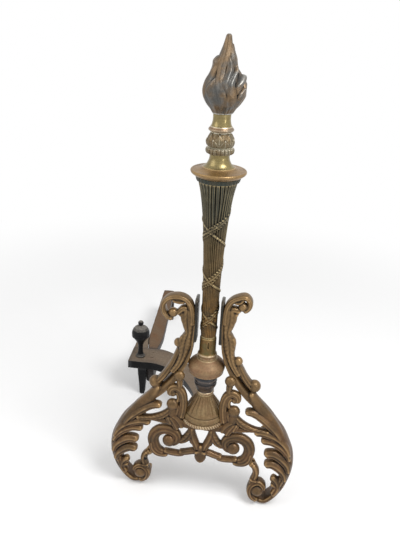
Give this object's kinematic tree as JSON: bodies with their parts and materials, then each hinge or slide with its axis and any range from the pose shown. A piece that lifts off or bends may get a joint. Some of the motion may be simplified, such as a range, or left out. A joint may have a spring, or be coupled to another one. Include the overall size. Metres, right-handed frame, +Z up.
{
  "type": "andiron",
  "caption": "Brass torch-shaped andiron with a flame finial on scrolled legs and a pierced apron, with a wrought-iron log bar behind it.",
  "frame": {"origin": "on the floor, under the middle of the box around the whole andiron", "axes": "+Z up, the ornamented front faces -Y, and the log bar runs back towards +Y on the -X side"},
  "size_m": [0.314, 0.6074, 0.69],
  "materials": {
    "aged_brass": "aged cast brass, brown in the hollows and rubbed on the high parts",
    "bright_brass": "polished turned brass with a thin tarnish",
    "dark_brass": "darkened brass with a blue-grey bloom",
    "leaf_brass": "warm brown cast brass, rubbed on the edges of the leaves",
    "black_iron": "forged iron, black with a worn brown-grey top",
    "rusty_iron": "wrought iron with an even coat of tan rust"
  },
  "bodies": {
    "root": {"gadroon_ring": "aged_brass", "bell_foot": "aged_brass", "foot_torus": "aged_brass", "dark_spool": "dark_brass", "dome": "aged_brass", "cuff_rings": "aged_brass", "slotted_collar": "aged_brass", "torch_shaft": "dark_brass", "drip_disc": "bright_brass", "polished_neck": "bright_brass", "beaded_ring": "aged_brass", "leaf_knop": "aged_brass", "astragal_ring": "bright_brass", "flame_neck": "bright_brass", "flame_finial": "dark_brass", "tie_rod": "black_iron", "tie_washer": "black_iron", "tie_nut": "black_iron", "left_scroll_leg": "leaf_brass", "right_scroll_leg": "leaf_brass", "pierced_apron": "leaf_brass", "leg_screws": "black_iron", "iron_arm": "black_iron", "log_bar": "rusty_iron", "lap_rivets": "black_iron", "front_iron_leg": "black_iron", "ball_stop": "black_iron"}
  },
  "joints": []
}
